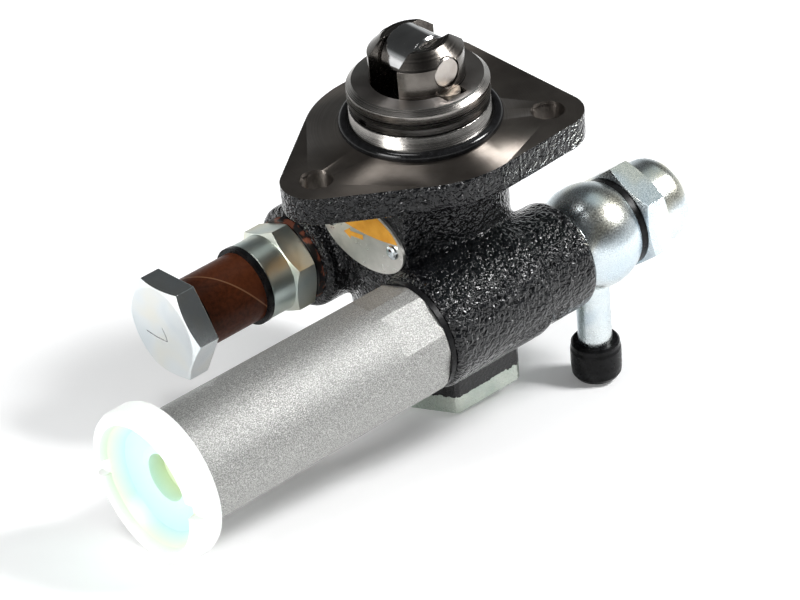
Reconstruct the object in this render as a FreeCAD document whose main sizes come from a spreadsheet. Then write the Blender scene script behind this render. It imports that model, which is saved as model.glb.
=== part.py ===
import FreeCAD, Part
import math
import os
import Sketcher

# A fuel feed pump with its hand primer. The origin is the centre of the mounting face,
# +Z runs up the tappet, the primer points to -X and the inlet union to +X. Millimetres.

VALUES = {
    # mounting flange and its three holes
    "flange_thick": 8.5, "flange_corner": 9.3, "hole_r": 4.5, "single_hole_x": -36.6,
    "pair_hole_x": 25.3, "pair_hole_half": 19.7, "flange_y": -1.0, "web_r": 30.4, "web_x": -1.0,
    # spigot that centres the pump
    "collar_r": 18.6, "spigot_top": 13.8, "collar_bevel": 1.5, "spigot_wall": 6.1,
    # casting
    "body_r": 21.5, "edge_round": 1.2, "fit_y": 25.0, "axis_z": -40.9, "inlet_r": 16.0,
    "inlet_reach": 5.5, "inlet_step": 5.0, "outlet_reach": 4.2, "outlet_back": 14.0,
    "port_r": 2.0, "seat_x": -4.0, "seat_hole": 3.5, "thread_gap": 0.1,
    # tappet, roller and pin
    "slide_gap": 0.05, "ear_bevel": 3.5, "tappet_low": -14.0, "cup_top": -3.0,
    "slot_half": 5.5, "roller_r": 7.5, "pin_r": 4.08, "pin_gap": 0.04, "key_r": 3.3,
    "key_thick": 3.2, "key_run": 7.0, "rod_r": 3.0, "stroke": 6.0,
    # piston and plug
    "piston_r": 11.0, "piston_long": 14.0, "plug_af": 38.4, "plug_hex": 11.5, "seal_thick": 1.0,
    # primer
    "washer_thick": 1.5, "flats_long": 14.0, "passage_r": 3.0, "primer_travel": 22.0,
    "cup_piston_long": 10.0, "cup_ring_half": 1.4, "plunger_r": 3.5, "knob_r": 20.8,
    "knob_thick": 8.4, "knob_round": 1.6, "recess_deep": 6.8, "well_r": 6.5, "well_deep": 4.6,
    "notch_half": 2.1, "notch_deep": 2.2,
    # valves
    "valve_thick": 1.8, "stem_r": 1.5, "stem_long": 4.0,
    # inlet union
    "ball_r": 14.4, "neck_long": 0.2, "gasket_thick": 1.5, "stud_r": 6.8, "stud_bore": 4.2,
    "stud_hole": 2.4, "eye_groove_half": 4.0, "outer_gasket_thick": 2.0, "union_hex": 7.9,
    "dome_r": 11.8, "dome_long": 10.6, "dome_round": 5.0, "pipe_r": 4.6, "pipe_drop": 40.6,
    "cap_cover": 7.7, "cap_end": 3.8,
    # outlet fitting with its packing spacer
    "copper_thick": 1.8, "adapter_hex_long": 7.0, "adapter_collar_long": 7.5, "bolt_r": 6.8,
    "seal_washer_thick": 1.5, "spacer_long": 19.0, "bolt_washer_thick": 1.3, "bolt_head": 7.0,
    # rings, plate and springs
    "ring_gap": 0.3, "o_ring_r": 1.5, "plate_thick": 0.8, "rivet_r": 2.1, "rivet_high": 1.0,
    "tappet_wire": 1.1, "tappet_turns": 5.0, "piston_wire": 0.9, "piston_turns": 6.0,
    "valve_wire": 0.45, "valve_turns": 3.0,
}

# Sizes that follow from the others.
FORMULAS = {
    "flange_slope": "asin((web_r - flange_corner) / (web_x - single_hole_x))",
    "flange_tip": "single_hole_x - flange_corner / sin(flange_slope)",
    "flange_touch_x": "web_x - web_r * sin(flange_slope)",
    "flange_touch_y": "web_r * cos(flange_slope)",
    "flange_right": "pair_hole_x + flange_corner",
    "flange_half": "pair_hole_half + flange_corner",
    "sleeve_r": "collar_r - 0.15",
    "groove_r": "collar_r - 1.8",
    "collar_low": "spigot_top - 5.2",
    "groove_low": "collar_low - 2.3",
    "ring_in": "groove_r + 0.15",
    "ring_out": "groove_r + 1.4",
    "o_ring_at": "sleeve_r + o_ring_r",
    "foot_r": "body_r + 0.5",
    "pad_x": "- body_r - 0.5",
    "inlet_end": "pad_x - inlet_reach",
    "outlet_face": "pad_x - outlet_reach",
    "union_r": "inlet_r - 0.9",
    "union_face": "inlet_step + 17.75",
    "chamber_r": "inlet_r - 7",
    "outlet_r": "chamber_r + 5.5",
    "copper_out": "outlet_r - 2.5",
    "tappet_bore": "collar_r - spigot_wall",
    "tappet_r": "tappet_bore - slide_gap",
    "roller_z": "spigot_top + 5.4",
    "ear_top": "roller_z + 6",
    "ear_flat": "tappet_r - 3.7",
    "cup_r": "tappet_r - 2.65",
    "slot_floor": "roller_z - roller_r - 1.9",
    "roller_half": "slot_half - 0.2",
    "pin_half": "tappet_r - 0.75",
    "pin_hole": "pin_r + 0.02",
    "roller_hole": "pin_r + pin_gap",
    "key_y": "0.9 - tappet_bore",
    "key_low": "spigot_top - 2.8",
    "tappet_coil": "cup_r - 1.5",
    "wall_top": "tappet_low - stroke - 6",
    "wall_low": "wall_top - 5",
    "rod_hole": "rod_r + 0.03",
    "piston_top": "wall_low - 6",
    "piston_low": "piston_top - piston_long",
    "piston_bore": "piston_r + slide_gap",
    "piston_cup_r": "piston_r - 2.2",
    "piston_cup_top": "piston_top - 6",
    "piston_coil": "piston_cup_r - 1.6",
    "body_low": "piston_low - stroke - 9.3",
    "foot_top": "body_low + 14.3",
    "plug_low": "body_low - plug_hex",
    "plug_inside": "body_low + 5.8",
    "plug_floor": "body_low - 1.7",
    "plug_thread_r": "piston_r + 2",
    "plug_thread": "plug_thread_r - thread_gap",
    "seal_outer": "plug_thread_r + 2.9",
    "barrel_wide": "inlet_r - 0.4",
    "barrel_narrow": "inlet_r - 0.8",
    "barrel_bore": "inlet_r - 4.45",
    "flats_af": "2 * barrel_narrow - 2.2",
    "barrel_face": "inlet_end - washer_thick",
    "shank_r": "chamber_r - thread_gap",
    "shank_bore": "chamber_r - 3.5",
    "shank_end": "inlet_end + 14.5",
    "barrel_wall": "barrel_face - 16",
    "cup_piston_r": "barrel_bore - slide_gap",
    "cup_groove": "barrel_bore - 1.75",
    "cup_piston_near": "barrel_wall - 5",
    "cup_piston_far": "cup_piston_near - cup_piston_long",
    "cup_piston_mid": "(cup_piston_near + cup_piston_far) / 2",
    "plunger_near": "cup_piston_near - 2",
    "plunger_hole": "plunger_r + slide_gap",
    "bush_near": "cup_piston_far - primer_travel - 2.5",
    "bush_far": "bush_near - 6.5",
    "hub_r": "barrel_bore - 0.65",
    "hub_end": "bush_far - 6",
    "barrel_end": "hub_end - 12",
    "knob_front": "barrel_end - knob_thick",
    "recess_r": "knob_r - 3.4",
    "recess_floor": "knob_front + recess_deep",
    "recess_low_r": "well_r + 2.1",
    "well_floor": "recess_floor + well_deep",
    "notch_in": "recess_r - 2.8",
    "plunger_far": "well_floor + 2",
    "valve_r": "chamber_r - 1.4",
    "valve_coil": "chamber_r - 2.1",
    "valve_back": "seat_x - valve_thick",
    "stem_end": "valve_back - stem_long",
    "ball_near": "union_face + gasket_thick",
    "neck_r": "stud_r + 4.4",
    "eye_bore": "stud_r + 0.3",
    "eye_groove_r": "stud_r + 2.8",
    "copper_r": "stud_r + 3.7",
    "gasket_r": "dome_r + 0.6",
    "union_bore": "stud_r + thread_gap",
    "stud_end": "union_face - 14.75",
    "union_bore_end": "stud_end - 4",
    "neck_end": "ball_near + neck_long",
    "ball_x": "neck_end + sqrt(ball_r * ball_r - neck_r * neck_r)",
    "ball_face": "ball_x + ball_r / 2 + 0.3",
    "ball_cut": "sqrt(ball_r * ball_r - (ball_face - ball_x) * (ball_face - ball_x))",
    "hex_near": "ball_face + outer_gasket_thick",
    "hex_far": "hex_near + union_hex",
    "union_af": "2 * dome_r + 2.3",
    "dome_end": "hex_far + dome_long",
    "strainer_out": "stud_bore - 0.3",
    "strainer_in": "stud_bore - 0.8",
    "pipe_bore": "pipe_r - 1.5",
    "pipe_top": "axis_z - eye_groove_r",
    "pipe_low": "axis_z - pipe_drop",
    "cap_r": "pipe_r + 2.3",
    "cap_top": "pipe_low + cap_cover",
    "cap_low": "pipe_low - cap_end",
    "cap_floor": "pipe_low - 0.5",
    "adapter_hex": "outlet_face - copper_thick",
    "adapter_hex_end": "adapter_hex - adapter_hex_long",
    "adapter_end": "adapter_hex_end - adapter_collar_long",
    "adapter_in": "outlet_face + 12.2",
    "bolt_bore": "bolt_r + thread_gap",
    "bolt_bore_end": "adapter_hex - 2",
    "adapter_collar": "bolt_bore + 3.9",
    "adapter_af": "2 * adapter_collar + 0.7",
    "seal_washer_end": "adapter_end - seal_washer_thick",
    "spacer_bore": "bolt_r + 0.5",
    "spacer_r": "bolt_r + 2.9",
    "seal_washer_r": "spacer_r + 1.3",
    "bolt_washer_r": "spacer_r + 1.5",
    "bolt_af": "2 * bolt_washer_r + 3.1",
    "spacer_end": "seal_washer_end - spacer_long",
    "bolt_face": "spacer_end - bolt_washer_thick",
    "bolt_end": "bolt_face - bolt_head",
    "bolt_tip": "adapter_end + 12",
    "bolt_hollow": "bolt_r - 3.3",
    "plate_long": "2 * fit_y - 18",
    "plate_high": "3.2 - axis_z - inlet_r - flange_thick",
    "plate_z": "axis_z + 1.5 * inlet_r - 0.15 * fit_y + 0.3 * plate_high - 9.23",
    "pad_half": "plate_long / 2 + 0.5",
    "pad_low": "plate_z - plate_high / 2 - 5.2",
    "rivet_y": "plate_long / 2 - 4",
}

doc = FreeCAD.newDocument("feed_pump")
sheet = doc.addObject("Spreadsheet::Sheet", "sizes")
row = 0
for name, value in VALUES.items():
    row += 1
    sheet.set("A%d" % row, name)
    sheet.set("B%d" % row, str(value))
    sheet.setAlias("B%d" % row, name)
for name, formula in FORMULAS.items():
    row += 1
    sheet.set("A%d" % row, name)
    sheet.set("B%d" % row, "=" + formula)
    sheet.setAlias("B%d" % row, name)
for name in ("plug_af", "union_af", "adapter_af", "bolt_af", "flats_af"):
    for ending, formula in (("_half", "=%s / 2"), ("_point", "=%s / sqrt(3)"),
                            ("_side", "=%s / sqrt(3) / 2"), ("_rim", "=%s * 0.485"),
                            ("_over", "=%s / sqrt(3) + 1"),
                            ("_bevel", "=(%s * 0.0924 + 1) * 0.45")):
        row += 1
        sheet.set("B%d" % row, formula % name)
        sheet.setAlias("B%d" % row, name + ending)
doc.recompute()

nodes = {}


def number(words):
    """Value of a sum such as 'seat_x - valve_thick'."""
    total = 0.0
    sign = 1.0
    for word in words.split():
        if word == "+":
            sign = 1.0
        elif word == "-":
            sign = -1.0
        elif word[0].isdigit():
            total += sign * float(word)
        else:
            total += sign * float(getattr(sheet, word))
    return total


def formula(words):
    """The same sum, written with the sheet's name."""
    return " ".join("sizes." + w if w[0].isalpha() else w for w in words.split())


def new_body(label):
    body = doc.addObject("PartDesign::Body", label)
    body.Label = label
    nodes[label] = body
    return body


def new_sketch(body, label, plane, offset=None):
    """A sketch on one of the body's own planes, moved out along its normal."""
    sketch = body.newObject("Sketcher::SketchObject", label)
    flat = [o for o in body.Origin.OriginFeatures if o.Role == plane][0]
    sketch.AttachmentSupport = [(flat, "")]
    sketch.MapMode = "FlatFace"
    if offset is not None:
        sketch.AttachmentOffset = FreeCAD.Placement(
            FreeCAD.Vector(0, 0, number(offset)), FreeCAD.Rotation())
        sketch.setExpression(".AttachmentOffset.Base.z", formula(offset))
    return sketch


def hold(sketch, item, point, across, up):
    """Holds a point of a sketch at two sums of sizes."""
    for kind, axis, words in (("DistanceX", -2, across), ("DistanceY", -1, up)):
        if words == "0":
            sketch.addConstraint(Sketcher.Constraint("PointOnObject", item, point, axis))
        else:
            index = sketch.addConstraint(
                Sketcher.Constraint(kind, -1, 1, item, point, number(words)))
            sketch.setExpression("Constraints[%d]" % index, formula(words))


def polygon(body, label, plane, corners, offset=None):
    sketch = new_sketch(body, label, plane, offset)
    spots = [FreeCAD.Vector(number(a), number(b), 0) for a, b in corners]
    count = len(spots)
    for k in range(count):
        sketch.addGeometry(Part.LineSegment(spots[k], spots[(k + 1) % count]), False)
    for k in range(count):
        sketch.addConstraint(Sketcher.Constraint("Coincident", k, 2, (k + 1) % count, 1))
    for k in range(count):
        hold(sketch, k, 1, corners[k][0], corners[k][1])
    return sketch


def circles(body, label, plane, places, radius, offset=None):
    sketch = new_sketch(body, label, plane, offset)
    for k, (across, up) in enumerate(places):
        centre = FreeCAD.Vector(number(across), number(up), 0)
        sketch.addGeometry(Part.Circle(centre, FreeCAD.Vector(0, 0, 1), number(radius)), False)
        hold(sketch, k, 3, across, up)
        index = sketch.addConstraint(Sketcher.Constraint("Radius", k, number(radius)))
        sketch.setExpression("Constraints[%d]" % index, formula(radius))
    return sketch


def turn(body, label, axis, corners, groove=False, angle=360.0):
    """Revolves a profile of (along, out) corners about the body's X, Y or Z axis."""
    plane, line, swap = {"x": ("XY_Plane", "H_Axis", False), "y": ("XY_Plane", "V_Axis", True),
                         "z": ("XZ_Plane", "V_Axis", True)}[axis]
    pairs = [(b, a) if swap else (a, b) for a, b in corners]
    sketch = polygon(body, label + "_profile", plane, pairs)
    kind = "PartDesign::Groove" if groove else "PartDesign::Revolution"
    feature = body.newObject(kind, label + "_turn")
    feature.Profile = sketch
    feature.ReferenceAxis = (sketch, [line])
    feature.Angle = angle
    return feature


def turned(label, axis, corners, angle=360.0):
    body = new_body(label)
    turn(body, label, axis, corners, angle=angle)
    return body


def pad(body, label, sketch, length):
    feature = body.newObject("PartDesign::Pad", label)
    feature.Profile = sketch
    feature.setExpression("Length", formula(length))
    feature.Length = number(length)
    return feature


def cut(body, label, sketch, length=None, reverse=False):
    """Cuts a sketch through everything, or to a length along or against its normal."""
    feature = body.newObject("PartDesign::Pocket", label)
    feature.Profile = sketch
    if length is None:
        feature.Type = "ThroughAll"
        feature.Midplane = True
    else:
        feature.Length = number(length)
        feature.setExpression("Length", formula(length))
        feature.Reversed = reverse
    return feature


def hexagon(body, label, size, start, length, plane="YZ_Plane"):
    ring = [("0", size + "_point"), ("- " + size + "_half", size + "_side"),
            ("- " + size + "_half", "- " + size + "_side"), ("0", "- " + size + "_point"),
            (size + "_half", "- " + size + "_side"), (size + "_half", size + "_side")]
    sketch = polygon(body, label + "_outline", plane, ring, offset=start)
    return pad(body, label + "_pad", sketch, length)


def bevel(body, label, size, end, side, axis="x"):
    """Turns the corners of a hexagon off at one end; side is + or -."""
    turn(body, label, axis, [(end, size + "_rim"), (end, size + "_over"),
                             (end + " " + side + " " + size + "_bevel", size + "_over")],
         groove=True)


def place(body, y=None, z=None, roll=0.0, about="x"):
    axis = {"x": FreeCAD.Vector(1, 0, 0), "z": FreeCAD.Vector(0, 0, 1)}[about]
    body.Placement = FreeCAD.Placement(FreeCAD.Vector(0, 0, 0), FreeCAD.Rotation(axis, roll))
    if y is not None:
        body.setExpression(".Placement.Base.y", formula(y))
    if z is not None:
        body.setExpression(".Placement.Base.z", formula(z))


def ring(label, axis, start, end, inner, outer):
    return turned(label, axis, [(start, inner), (end, inner), (end, outer), (start, outer)])


def coil(label, axis, start, length, radius, wire, turns):
    """A helical spring lying between two faces, with its wire just clear of both."""
    path = doc.addObject("Part::Helix", label + "_path")
    path.setExpression("Pitch", "(%s - 2.04 * %s) / %s" % (
        formula(length), formula(wire), formula(turns)))
    path.setExpression("Height", "%s - 2.04 * %s" % (formula(length), formula(wire)))
    path.setExpression("Radius", formula(radius))
    section = doc.addObject("Part::Circle", label + "_section")
    section.setExpression("Radius", formula(wire))
    section.Placement = FreeCAD.Placement(
        FreeCAD.Vector(number(radius), 0, 0), FreeCAD.Rotation(FreeCAD.Vector(1, 0, 0), 90))
    section.setExpression(".Placement.Base.x", formula(radius))
    spring = doc.addObject("Part::Sweep", label)
    spring.Sections = [section]
    spring.Spine = (path, ["Edge1"])
    spring.Solid = True
    spring.Frenet = True
    spring.Label = label
    nodes[label] = spring
    if axis == "x":
        spring.Placement = FreeCAD.Placement(
            FreeCAD.Vector(0, 0, 0), FreeCAD.Rotation(FreeCAD.Vector(0, 1, 0), 90))
        spring.setExpression(".Placement.Base.x", "%s + 1.02 * %s" % (formula(start), formula(wire)))
    else:
        spring.setExpression(".Placement.Base.z", "%s + 1.02 * %s" % (formula(start), formula(wire)))
    return spring


# The casting: lumps that are fused, then bored
flange = new_body("flange_lump")
sketch = polygon(flange, "flange_outline", "XY_Plane",
                 [("flange_tip", "0"), ("flange_touch_x", "- flange_touch_y"),
                  ("web_x", "- web_r"), ("flange_right", "- flange_half"),
                  ("flange_right", "flange_half"), ("web_x", "web_r"),
                  ("flange_touch_x", "flange_touch_y")], offset="- flange_thick")
pad(flange, "flange_plate", sketch, "flange_thick")
doc.recompute()
plate = flange.Tip
upright = ["Edge%d" % (k + 1) for k, edge in enumerate(plate.Shape.Edges)
           if abs(edge.Vertexes[0].Z - edge.Vertexes[-1].Z) > 1
           and (edge.Vertexes[0].X < number("flange_tip") + 0.01
                or edge.Vertexes[0].X > number("flange_right") - 0.01)]
corners = flange.newObject("PartDesign::Fillet", "flange_corners")
corners.Base = (plate, upright)
corners.setExpression("Radius", "sizes.flange_corner")
corners.Radius = number("flange_corner")
doc.recompute()
under = ["Edge%d" % (k + 1) for k, edge in enumerate(corners.Shape.Edges)
         if all(v.Z < - number("flange_thick") + 0.01 for v in edge.Vertexes)]
rim = flange.newObject("PartDesign::Fillet", "flange_under_edge")
rim.Base = (corners, under)
rim.setExpression("Radius", "sizes.edge_round")
rim.Radius = number("edge_round")
place(flange, y="flange_y")

web = turned("web_lump", "z", [("- flange_thick", "0"),
                               ("- flange_thick", "web_r - edge_round"),
                               ("- flange_thick + edge_round", "web_r"), ("0", "web_r"),
                               ("0", "0")])
place(web, y="flange_y")
web.setExpression(".Placement.Base.x", "sizes.web_x")

column = turned("column_lump", "z", [
    ("body_low", "0"), ("body_low", "foot_r"), ("foot_top", "foot_r"),
    ("foot_top + edge_round", "body_r"), ("0", "body_r"), ("0", "sleeve_r"),
    ("groove_low - 0.3", "sleeve_r"), ("groove_low", "sleeve_r - 0.3"), ("groove_low", "groove_r"),
    ("collar_low", "groove_r"), ("collar_low", "collar_r"),
    ("spigot_top - collar_bevel", "collar_r"), ("spigot_top", "collar_r - collar_bevel"),
    ("spigot_top", "0")])

inlet = turned("inlet_lump", "x", [
    ("inlet_end", "0"), ("inlet_end", "inlet_r - edge_round"),
    ("inlet_end + edge_round", "inlet_r"), ("inlet_step", "inlet_r"),
    ("inlet_step + edge_round + edge_round", "union_r"), ("union_face - edge_round", "union_r"),
    ("union_face", "union_r - edge_round"), ("union_face", "0")])
place(inlet, y="- fit_y", z="axis_z")

outlet = turned("outlet_lump", "x", [
    ("outlet_face", "0"), ("outlet_face", "outlet_r - edge_round"),
    ("outlet_face + edge_round", "outlet_r"), ("outlet_back - edge_round", "outlet_r"),
    ("outlet_back", "outlet_r - edge_round"), ("outlet_back", "0")])
place(outlet, y="fit_y", z="axis_z")

boss = new_body("plate_lump")
sketch = polygon(boss, "plate_boss_outline", "YZ_Plane", [
    ("- pad_half", "pad_low + 3"), ("- pad_half + 3", "pad_low"), ("pad_half - 3", "pad_low"),
    ("pad_half", "pad_low + 3"), ("pad_half", "- 4"), ("- pad_half", "- 4")], offset="pad_x")
pad(boss, "plate_boss", sketch, "- pad_x")

hollow = turned("tappet_hollow", "z", [
    ("wall_top", "0"), ("wall_top", "tappet_bore"), ("spigot_top + 1", "tappet_bore"),
    ("spigot_top + 1", "0")])
bore = turned("piston_hollow", "z", [
    ("body_low - 1", "0"), ("body_low - 1", "seal_outer + 0.1"),
    ("body_low + seal_thick", "seal_outer + 0.1"), ("body_low + seal_thick", "plug_thread_r"),
    ("plug_inside", "plug_thread_r"), ("plug_inside", "piston_bore"),
    ("wall_low", "piston_bore"), ("wall_low", "rod_hole"), ("wall_top + 1", "rod_hole"),
    ("wall_top + 1", "0")])
inlet_hollow = turned("inlet_hollow", "x", [
    ("inlet_end - 1", "0"), ("inlet_end - 1", "chamber_r"), ("seat_x", "chamber_r"),
    ("seat_x", "seat_hole"), ("union_bore_end", "seat_hole"), ("union_bore_end", "union_bore"),
    ("union_face + 1", "union_bore"), ("union_face + 1", "0")])
place(inlet_hollow, y="- fit_y", z="axis_z")
outlet_hollow = turned("outlet_hollow", "x", [
    ("outlet_face - 1", "0"), ("outlet_face - 1", "chamber_r"), ("seat_x", "chamber_r"),
    ("seat_x", "seat_hole"), ("inlet_step", "seat_hole"), ("inlet_step", "0")])
place(outlet_hollow, y="fit_y", z="axis_z")
drills = new_body("flange_drills")
sketch = circles(drills, "drill_centres", "XY_Plane",
                 [("single_hole_x", "0"), ("pair_hole_x", "pair_hole_half"),
                  ("pair_hole_x", "- pair_hole_half")], "hole_r", offset="- flange_thick - 1")
pad(drills, "drill_depth", sketch, "flange_thick + 2")
place(drills, y="flange_y")
inlet_port = new_body("inlet_port")
sketch = circles(inlet_port, "inlet_port_centre", "XZ_Plane",
                 [("seat_x - valve_r + 2", "axis_z")], "port_r")
pad(inlet_port, "inlet_port_run", sketch, "fit_y")
outlet_port = new_body("outlet_port")
sketch = circles(outlet_port, "outlet_port_centre", "XZ_Plane",
                 [("0", "axis_z")], "port_r", offset="- fit_y")
pad(outlet_port, "outlet_port_run", sketch, "fit_y")
keyway = new_body("keyway")
sketch = polygon(keyway, "keyway_outline", "XY_Plane", [
    ("- key_r - 0.2", "0"), ("- key_r - 0.2", "key_y - key_r - 0.4"),
    ("key_r + 0.2", "key_y - key_r - 0.4"), ("key_r + 0.2", "0")], offset="key_low - key_run")
pad(keyway, "keyway_run", sketch, "spigot_top")

blank = doc.addObject("Part::MultiFuse", "casting_blank")
blank.Shapes = [flange, web, column, inlet, outlet, boss]
tools = doc.addObject("Part::MultiFuse", "casting_tools")
tools.Shapes = [hollow, bore, inlet_hollow, outlet_hollow, drills, inlet_port, outlet_port, keyway]
casting = doc.addObject("Part::Cut", "pump_housing")
casting.Base = blank
casting.Tool = tools
for helper in ("flange_lump", "web_lump", "column_lump", "inlet_lump", "outlet_lump",
               "plate_lump", "tappet_hollow", "piston_hollow", "inlet_hollow",
               "outlet_hollow", "flange_drills", "inlet_port", "outlet_port", "keyway"):
    del nodes[helper]
nodes["pump_housing"] = casting
casting.Label = "pump_housing"

# Rings on the spigot
snap = turned("retaining_ring", "z", [
    ("groove_low + ring_gap", "ring_in"), ("groove_low + ring_gap", "ring_out"),
    ("collar_low - ring_gap", "ring_out"), ("collar_low - ring_gap", "ring_in")], angle=350.0)
place(snap, roll=-180.0, about="z")
seal = new_body("flange_o_ring")
sketch = circles(seal, "o_ring_section", "XZ_Plane", [("o_ring_at", "o_ring_r")], "o_ring_r")
o_ring = seal.newObject("PartDesign::Revolution", "o_ring_turn")
o_ring.Profile = sketch
o_ring.ReferenceAxis = (sketch, ["V_Axis"])
o_ring.Angle = 360.0

# Tappet with its roller
tappet = turned("tappet_body", "z", [
    ("ear_top", "0"), ("ear_top", "ear_flat"), ("ear_top - ear_bevel", "tappet_r"),
    ("tappet_low", "tappet_r"), ("tappet_low", "cup_r"), ("cup_top", "cup_r"), ("cup_top", "0")])
sketch = polygon(tappet, "roller_slot", "YZ_Plane", [
    ("- slot_half", "slot_floor"), ("slot_half", "slot_floor"),
    ("slot_half", "ear_top + 2"), ("- slot_half", "ear_top + 2")])
cut(tappet, "roller_slot_cut", sketch)
sketch = circles(tappet, "pin_seat", "XZ_Plane", [("0", "roller_z")], "pin_hole")
cut(tappet, "pin_seat_cut", sketch)
sketch = circles(tappet, "key_seat", "XY_Plane", [("0", "key_y")], "key_r + 0.02",
                 offset="key_low")
cut(tappet, "key_seat_cut", sketch, "key_thick", reverse=True)

turned("roller", "y", [
    ("- roller_half", "roller_hole"), ("- roller_half", "roller_r - 0.5"),
    ("- roller_half + 0.5", "roller_r"), ("roller_half - 0.5", "roller_r"),
    ("roller_half", "roller_r - 0.5"), ("roller_half", "roller_hole")])
place(nodes["roller"], z="roller_z")
turned("roller_pin", "y", [
    ("- pin_half", "0"), ("- pin_half", "pin_r - 0.4"), ("- pin_half + 0.4", "pin_r"),
    ("pin_half - 0.4", "pin_r"), ("pin_half", "pin_r - 0.4"), ("pin_half", "0")])
place(nodes["roller_pin"], z="roller_z")
key = new_body("guide_key")
sketch = circles(key, "key_outline", "XY_Plane", [("0", "key_y")], "key_r", offset="key_low")
pad(key, "key_pad", sketch, "key_thick")

coil("tappet_spring", "z", "wall_top", "cup_top - wall_top", "tappet_coil", "tappet_wire",
     "tappet_turns")
turned("push_rod", "z", [
    ("piston_top", "0"), ("piston_top", "rod_r - 0.4"), ("piston_top + 0.4", "rod_r"),
    ("cup_top - 0.4", "rod_r"), ("cup_top", "rod_r - 0.4"), ("cup_top", "0")])

# Piston, its spring and the plug below
turned("piston", "z", [
    ("piston_top", "0"), ("piston_top", "piston_r - 0.5"), ("piston_top - 0.5", "piston_r"),
    ("piston_low", "piston_r"), ("piston_low", "piston_cup_r"),
    ("piston_cup_top", "piston_cup_r"), ("piston_cup_top", "0")])
coil("piston_spring", "z", "plug_floor", "piston_cup_top - plug_floor", "piston_coil",
     "piston_wire", "piston_turns")
plug = new_body("bottom_plug")
hexagon(plug, "plug_head", "plug_af", "plug_low", "body_low - plug_low", plane="XY_Plane")
turn(plug, "plug_shank", "z", [
    ("plug_low", "0"), ("plug_low", "plug_thread"), ("plug_inside", "plug_thread"),
    ("plug_inside", "0")])
turn(plug, "spring_well", "z", [
    ("plug_floor", "0"), ("plug_floor", "piston_cup_r + 1"),
    ("plug_inside + 1", "piston_cup_r + 1"), ("plug_inside + 1", "0")], groove=True)
turn(plug, "plug_corner", "z", [
    ("plug_low - 1", "plug_af_half + 2.6"), ("body_low + 1", "plug_af_half + 2.6"),
    ("body_low + 1", "plug_af_over"), ("plug_low - 1", "plug_af_over")], groove=True)
place(plug, roll=30.0, about="z")
ring("plug_seal", "z", "body_low", "body_low + seal_thick", "plug_thread_r + 0.1", "seal_outer")

# Name plate and its rivets
plaque = new_body("name_plate")
sketch = new_sketch(plaque, "plaque_outline", "YZ_Plane", offset="pad_x - plate_thick")
long_half = number("plate_long") / 2
high_half = number("plate_high") / 2
sketch.addGeometry(Part.Ellipse(FreeCAD.Vector(long_half, 0, 0), FreeCAD.Vector(0, high_half, 0),
                                FreeCAD.Vector(0, 0, 0)), False)
sketch.exposeInternalGeometry(0)
sketch.addConstraint(Sketcher.Constraint("Coincident", 0, 3, -1, 1))
sketch.addConstraint(Sketcher.Constraint("Horizontal", 1))
for line, size in ((1, "plate_long"), (2, "plate_high")):
    index = sketch.addConstraint(Sketcher.Constraint("Distance", line, number(size)))
    sketch.setExpression("Constraints[%d]" % index, formula(size))
pad(plaque, "plaque_pad", sketch, "plate_thick")
place(plaque, z="plate_z")
rivets = []
for side in (-1, 1):
    rivet = turned("rivet_left" if side < 0 else "rivet_right", "x", [
        ("0", "0"), ("0", "rivet_r"), ("- rivet_high + 0.4", "rivet_r - 0.2"),
        ("- rivet_high + 0.1", "rivet_r - 0.8"), ("- rivet_high", "rivet_r - 1.5"),
        ("- rivet_high", "0")])
    place(rivet, y="rivet_y" if side < 0 else "- rivet_y", z="plate_z")
    rivet.setExpression(".Placement.Base.x", "sizes.pad_x - sizes.plate_thick")
    rivets.append(rivet)
    del nodes[rivet.Label]
pair = doc.addObject("Part::Compound", "plate_rivets")
pair.Links = rivets
pair.Label = "plate_rivets"
nodes["plate_rivets"] = pair

# Hand primer
barrel = turned("primer_barrel", "x", [
    ("barrel_end", "barrel_bore"), ("barrel_end", "barrel_wide - 0.4"),
    ("barrel_end + 0.4", "barrel_wide"), ("barrel_face - 0.6", "barrel_narrow"),
    ("barrel_face", "barrel_narrow - 0.6"), ("barrel_face", "shank_r"),
    ("shank_end", "shank_r"), ("shank_end", "shank_bore"), ("barrel_face", "shank_bore"),
    ("barrel_face", "passage_r"), ("barrel_wall", "passage_r"), ("barrel_wall", "barrel_bore")])
sketch = new_sketch(barrel, "flats_outline", "YZ_Plane", offset="barrel_face + 1")
count = 6
for turned_by in range(count):
    start = math.radians(60 * turned_by - 30)
    end = math.radians(60 * turned_by + 30)
    near = number("flats_af_point")
    sketch.addGeometry(Part.LineSegment(
        FreeCAD.Vector(near * math.cos(start), near * math.sin(start), 0),
        FreeCAD.Vector(near * math.cos(end), near * math.sin(end), 0)), False)
for k in range(count):
    sketch.addConstraint(Sketcher.Constraint("Coincident", k, 2, (k + 1) % count, 1))
corner_list = [("flats_af_half", "- flats_af_side"), ("flats_af_half", "flats_af_side"),
               ("0", "flats_af_point"), ("- flats_af_half", "flats_af_side"),
               ("- flats_af_half", "- flats_af_side"), ("0", "- flats_af_point")]
for k, (across, up) in enumerate(corner_list):
    hold(sketch, k, 1, across, up)
sketch.addGeometry(Part.Circle(FreeCAD.Vector(0, 0, 0), FreeCAD.Vector(0, 0, 1),
                               number("barrel_wide + 2")), False)
hold(sketch, count, 3, "0", "0")
index = sketch.addConstraint(Sketcher.Constraint("Radius", count, number("barrel_wide + 2")))
sketch.setExpression("Constraints[%d]" % index, formula("barrel_wide + 2"))
cut(barrel, "flats_cut", sketch, "flats_long + 1")
place(barrel, y="- fit_y", z="axis_z", roll=10.0)
ring("barrel_washer", "x", "barrel_face", "inlet_end", "chamber_r + 0.2", "barrel_narrow - 0.3")
place(nodes["barrel_washer"], y="- fit_y", z="axis_z")

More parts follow.
